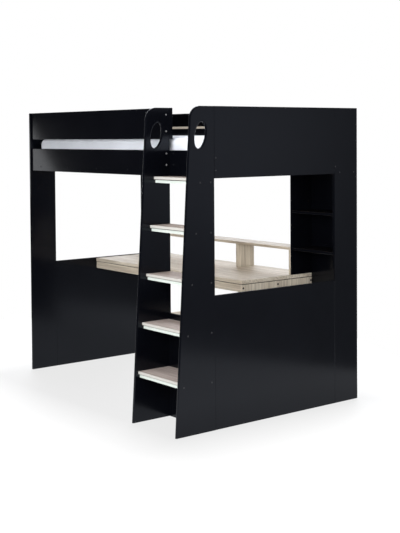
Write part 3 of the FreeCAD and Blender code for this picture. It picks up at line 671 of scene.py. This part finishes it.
class HIGH_SLEEPER_OT_mattress(Operator):
    """Makes the sewn mattress over its solid, swollen by a cloth simulation, with edge tape"""
    bl_idname = "high_sleeper.mattress"
    bl_label = "Mattress"

    def execute(self, context):
        settings = context.scene.high_sleeper.mattress
        pad = self.remeshed(settings)
        self.swell(context, pad, settings)
        self.settle(pad)
        self.soften_ends(pad, settings)
        self.subdivide(pad)
        upper = MATTRESS_HIGH.z - settings.crown - settings.piping_inset
        lower = MATTRESS_LOW.z + settings.piping_inset
        tapes = [self.edge_tape(pad, name, z, settings)
                 for name, z in (("mattress_tape_top", upper), ("mattress_tape_bottom", lower))]
        self.sew(pad, settings)
        cover = knit_cover(settings)
        dress([pad, *tapes], cover)
        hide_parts("mattress")
        for piece in (pad, *tapes):
            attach(piece, "mattress")
        return {"FINISHED"}

    def remeshed(self, settings):
        """A copy of the solid with an even mesh, a little smaller than the solid."""
        pad = copied("mattress_pad", frame["nodes"]["mattress"].data)
        bpy.ops.object.mode_set(mode="EDIT")
        bpy.ops.mesh.select_all(action="SELECT")
        bpy.ops.mesh.remove_doubles(threshold=settings.weld)
        bpy.ops.object.mode_set(mode="OBJECT")
        remesh = pad.modifiers.new("even_mesh", "REMESH")
        remesh.mode = "VOXEL"
        remesh.voxel_size = settings.voxel
        bpy.ops.object.modifier_apply(modifier=remesh.name)
        slack = pad.modifiers.new("slack", "DISPLACE")
        slack.strength = -settings.slack
        slack.mid_level = 0.0
        bpy.ops.object.modifier_apply(modifier=slack.name)
        return pad

    def swell(self, context, pad, settings):
        """Swells the cover by a cloth simulation, as far as its points may move."""
        start = [vertex.co.copy() for vertex in pad.data.vertices]
        cloth = pad.modifiers.new("swell", "CLOTH")
        cloth.settings.use_pressure = True
        cloth.settings.uniform_pressure_force = settings.pressure
        cloth.settings.effector_weights.gravity = 0.0
        cloth.point_cache.frame_start = 1
        cloth.point_cache.frame_end = settings.frames
        for step in range(1, settings.frames + 1):
            context.scene.frame_set(step)
        bpy.ops.object.modifier_apply(modifier=cloth.name)
        context.scene.frame_set(1)
        for vertex, place in zip(pad.data.vertices, start):
            move = vertex.co - place
            if move.length > settings.swell:
                vertex.co = place + move.normalized() * settings.swell

    def settle(self, pad):
        """Keeps the cover clear of the rails, and flat where it lies on the slats."""
        for vertex in pad.data.vertices:
            for axis in range(3):
                vertex.co[axis] = min(max(vertex.co[axis], MATTRESS_LOW[axis]), MATTRESS_HIGH[axis])

    def soften_ends(self, pad, settings):
        """Lets both ends bulge out and lean in towards the top."""
        middle = (MATTRESS_LOW + MATTRESS_HIGH) / 2
        half = (MATTRESS_HIGH - MATTRESS_LOW) / 2
        for vertex in pad.data.vertices:
            along = vertex.co.x - middle.x
            near_end = max(1.0 - (half.x - abs(along)) / settings.end_depth, 0.0)
            rise = max((vertex.co.z - middle.z) / half.z, 0.0)
            bulge = settings.end_bulge - settings.end_lean * rise ** settings.end_curve
            vertex.co.x += math.copysign(near_end, along) * bulge

    def subdivide(self, pad):
        work_on(pad)
        smooth = pad.modifiers.new("smooth", "SUBSURF")
        smooth.levels = smooth.render_levels = 1
        bpy.ops.object.modifier_apply(modifier=smooth.name)
        bpy.ops.object.shade_smooth()

    def edge_tape(self, pad, name, z, settings):
        """A round tape along the line where a level plane cuts the cover."""
        copied(name, pad.data)
        bpy.ops.object.mode_set(mode="EDIT")
        bpy.ops.mesh.select_all(action="SELECT")
        bpy.ops.mesh.bisect(plane_co=(0.0, 0.0, z), plane_no=UP, clear_inner=True, clear_outer=True)
        bpy.ops.object.mode_set(mode="OBJECT")
        bpy.ops.object.convert(target="CURVE")
        tape = bpy.context.view_layer.objects.active
        tape.data.bevel_depth = settings.piping
        tape.data.bevel_resolution = 2
        bpy.ops.object.convert(target="MESH")
        bpy.ops.object.shade_smooth()
        return bpy.context.view_layer.objects.active

    def sew(self, pad, settings):
        """Presses a grid of sewn channels into the top and notes them for the cover's material, which darkens
        them with thread colour and painted shade.
        """
        size = MATTRESS_HIGH - MATTRESS_LOW
        panels = (settings.channels_along, settings.channels_across)
        lines = [[MATTRESS_LOW[axis] + size[axis] * step / total for step in range(1, total)]
                 for axis, total in enumerate(panels)]
        seam = pad.data.attributes.new("seam", "FLOAT", "POINT")
        facing = [vertex.normal.z for vertex in pad.data.vertices]
        for vertex, up in zip(pad.data.vertices, facing):
            if up < settings.top_facing:
                continue
            edge = min(min(vertex.co[axis] - MATTRESS_LOW[axis], MATTRESS_HIGH[axis] - vertex.co[axis])
                       for axis in range(2))
            fade = min(max(edge / settings.border - settings.border_share, 0.0), 1.0)
            away = min(abs(vertex.co[axis] - line) for axis in range(2) for line in lines[axis])
            depth = fade * math.exp(-(away / settings.channel_width) ** 2)
            vertex.co.z -= depth * settings.channel_depth
            seam.data[vertex.index].value = depth ** 3


class HIGH_SLEEPER_OT_stage(Operator):
    """Makes the pale floor, the soft studio light and the camera"""
    bl_idname = "high_sleeper.stage"
    bl_label = "Stage"

    def execute(self, context):
        settings = context.scene.high_sleeper.stage
        self.floor(settings)
        self.studio(context, settings)
        self.lights(settings)
        self.camera(context, settings)
        context.scene.view_settings.view_transform = "Standard"
        return {"FINISHED"}

    def floor(self, settings):
        """A floor that is brighter away from the bed, as a lit white sweep is."""
        bpy.ops.object.select_all(action="DESELECT")
        bpy.ops.mesh.primitive_plane_add(size=1.0, location=settings.floor_place,
                                         rotation=(0.0, 0.0, settings.floor_turn))
        floor = bpy.context.view_layer.objects.active
        floor.name = "floor"
        floor.scale = settings.floor_size
        bpy.ops.object.transform_apply(location=True, rotation=True, scale=True)
        material, tree, shader = new_material("pale_floor")
        low, high = CAD_BOX
        beyond = vector_of(tree, "SUBTRACT", place_of(tree), (low + high) / 2)
        beyond = vector_of(tree, "ABSOLUTE", beyond)
        beyond = vector_of(tree, "SUBTRACT", beyond, (high - low) / 2)
        beyond = vector_of(tree, "MAXIMUM", beyond, (0.0, 0.0, 0.0))
        away = vector_of(tree, "LENGTH", beyond, result="Value")
        lift = spread(tree, away, settings.floor_near, settings.floor_far, 0.0, settings.floor_reach)
        tree.links.new(lift, shader.inputs["Emission Strength"])
        shader.inputs["Base Color"].default_value = (*settings.floor, 1.0)
        shader.inputs["Roughness"].default_value = FLOOR_ROUGHNESS
        shader.inputs["Specular IOR Level"].default_value = FLOOR_GLOSS
        shader.inputs["Emission Color"].default_value = WHITE
        dress([floor], material)

    def studio(self, context, settings):
        """A white backdrop all round, in a room that is bright behind the bed and dim in front of it."""
        world = bpy.data.worlds.new("studio")
        context.scene.world = world
        world.use_nodes = True
        tree = world.node_tree
        backdrop = tree.nodes["Background"]
        backdrop.inputs["Color"].default_value = WHITE
        backdrop.inputs["Strength"].default_value = 1.0
        lobes = (
            (settings.back_level, settings.back_way, settings.back_reach, settings.back_falloff),
            (settings.right_level, settings.right_way, settings.right_reach, settings.right_falloff),
            (settings.window_level, settings.window_way, settings.window_reach, settings.window_falloff),
        )
        level = settings.front_level
        for brightness, way, reach, falloff in lobes:
            level = math_of(tree, "MULTIPLY_ADD", self.lobe(tree, way, reach, falloff), brightness, level)
        room = add(tree, "ShaderNodeBackground", Color=(*settings.room, 1.0), Strength=level)
        seen = add(tree, "ShaderNodeLightPath").outputs["Is Camera Ray"]
        both = add(tree, "ShaderNodeMixShader", Fac=seen)
        tree.links.new(room.outputs["Background"], both.inputs[1])
        tree.links.new(backdrop.outputs["Background"], both.inputs[2])
        tree.links.new(both.outputs["Shader"], tree.nodes["World Output"].inputs["Surface"])

    def lobe(self, tree, way, reach, falloff):
        """A 0 to 1 value that is highest straight along a way and falls to nothing at a reach."""
        around = add(tree, "ShaderNodeTexCoord").outputs["Generated"]
        facing = vector_of(tree, "DOT_PRODUCT", around, Vector(way).normalized(), result="Value")
        return math_of(tree, "POWER", spread(tree, facing, 0.0, 1.0, reach, 1.0), falloff)

    def lights(self, settings):
        """Three broad lights that the gloss doesn't mirror, and a narrow one that only the gloss mirrors."""
        broad = (settings.light_size, settings.light_size)
        for name, watts, place in (("key_light", settings.key_power, settings.key_place),
                                   ("fill_light", settings.fill_power, settings.fill_place),
                                   ("top_light", settings.top_power, settings.top_place)):
            self.soft_light(name, watts, broad, place, settings.light_aim).visible_glossy = False
        side = self.soft_light("side_light", settings.side_power, (settings.side_width, settings.side_height),
                               settings.side_place, settings.side_aim, settings.side_roll)
        side.visible_diffuse = False

    def soft_light(self, name, watts, size, place, aim, roll=0.0):
        bpy.ops.object.light_add(type="AREA", location=place)
        light = bpy.context.view_layer.objects.active
        light.name = name
        light.data.shape = "RECTANGLE"
        light.data.size, light.data.size_y = size
        light.data.energy = watts
        light.rotation_mode = "QUATERNION"
        level = (Vector(aim) - Vector(place)).to_track_quat("-Z", "Y")
        light.rotation_quaternion = level @ Quaternion(UP, roll)
        light.visible_camera = False
        return light

    def camera(self, context, settings):
        """A camera with the photograph's place, turn, focal length and optical centre."""
        ahead = Vector((-math.sin(settings.turn) * math.cos(settings.tilt),
                        math.cos(settings.turn) * math.cos(settings.tilt), -math.sin(settings.tilt)))
        side = ahead.cross(UP).normalized()
        level = Matrix((side, side.cross(ahead), -ahead)).transposed()
        bpy.ops.object.camera_add()
        camera = bpy.context.view_layer.objects.active
        camera.name = "photo_camera"
        camera.matrix_world = (Matrix.Translation(Vector(settings.camera)) @ level.to_4x4()
                               @ Matrix.Rotation(settings.roll, 4, "Z"))
        camera.data.sensor_width = SENSOR
        camera.data.lens = settings.focus * SENSOR / PHOTO_HEIGHT
        camera.data.shift_x = (PHOTO_WIDTH / 2 - settings.centre[0]) / PHOTO_HEIGHT
        camera.data.shift_y = (settings.centre[1] - PHOTO_HEIGHT / 2) / PHOTO_HEIGHT
        context.scene.camera = camera


class HIGH_SLEEPER_PT_panel(Panel):
    """The pieces and finishes of the bed"""
    bl_label = "High sleeper bed"
    bl_idname = "HIGH_SLEEPER_PT_panel"
    bl_space_type = "VIEW_3D"
    bl_region_type = "UI"
    bl_category = "High sleeper"

    def draw(self, context):
        for operator in OPERATORS:
            self.layout.operator(operator.bl_idname)


SETTINGS = (BlackBoardSettings, OakSettings, TreadSettings, PineSettings, FittingSettings, MattressSettings,
            StageSettings, HighSleeperSettings)
OPERATORS = (HIGH_SLEEPER_OT_black_boards, HIGH_SLEEPER_OT_oak_boards, HIGH_SLEEPER_OT_slatted_base,
             HIGH_SLEEPER_OT_fittings, HIGH_SLEEPER_OT_mattress, HIGH_SLEEPER_OT_stage)


def register():
    for item in (*SETTINGS, *OPERATORS, HIGH_SLEEPER_PT_panel):
        bpy.utils.register_class(item)
    bpy.types.Scene.high_sleeper = PointerProperty(type=HighSleeperSettings)


def unregister():
    del bpy.types.Scene.high_sleeper
    for item in reversed((*SETTINGS, *OPERATORS, HIGH_SLEEPER_PT_panel)):
        bpy.utils.unregister_class(item)


def main():
    register()
    bpy.ops.high_sleeper.black_boards()
    bpy.ops.high_sleeper.oak_boards()
    bpy.ops.high_sleeper.slatted_base()
    bpy.ops.high_sleeper.fittings()
    bpy.ops.high_sleeper.mattress()
    bpy.ops.high_sleeper.stage()


if __name__ == "__main__":
    main()
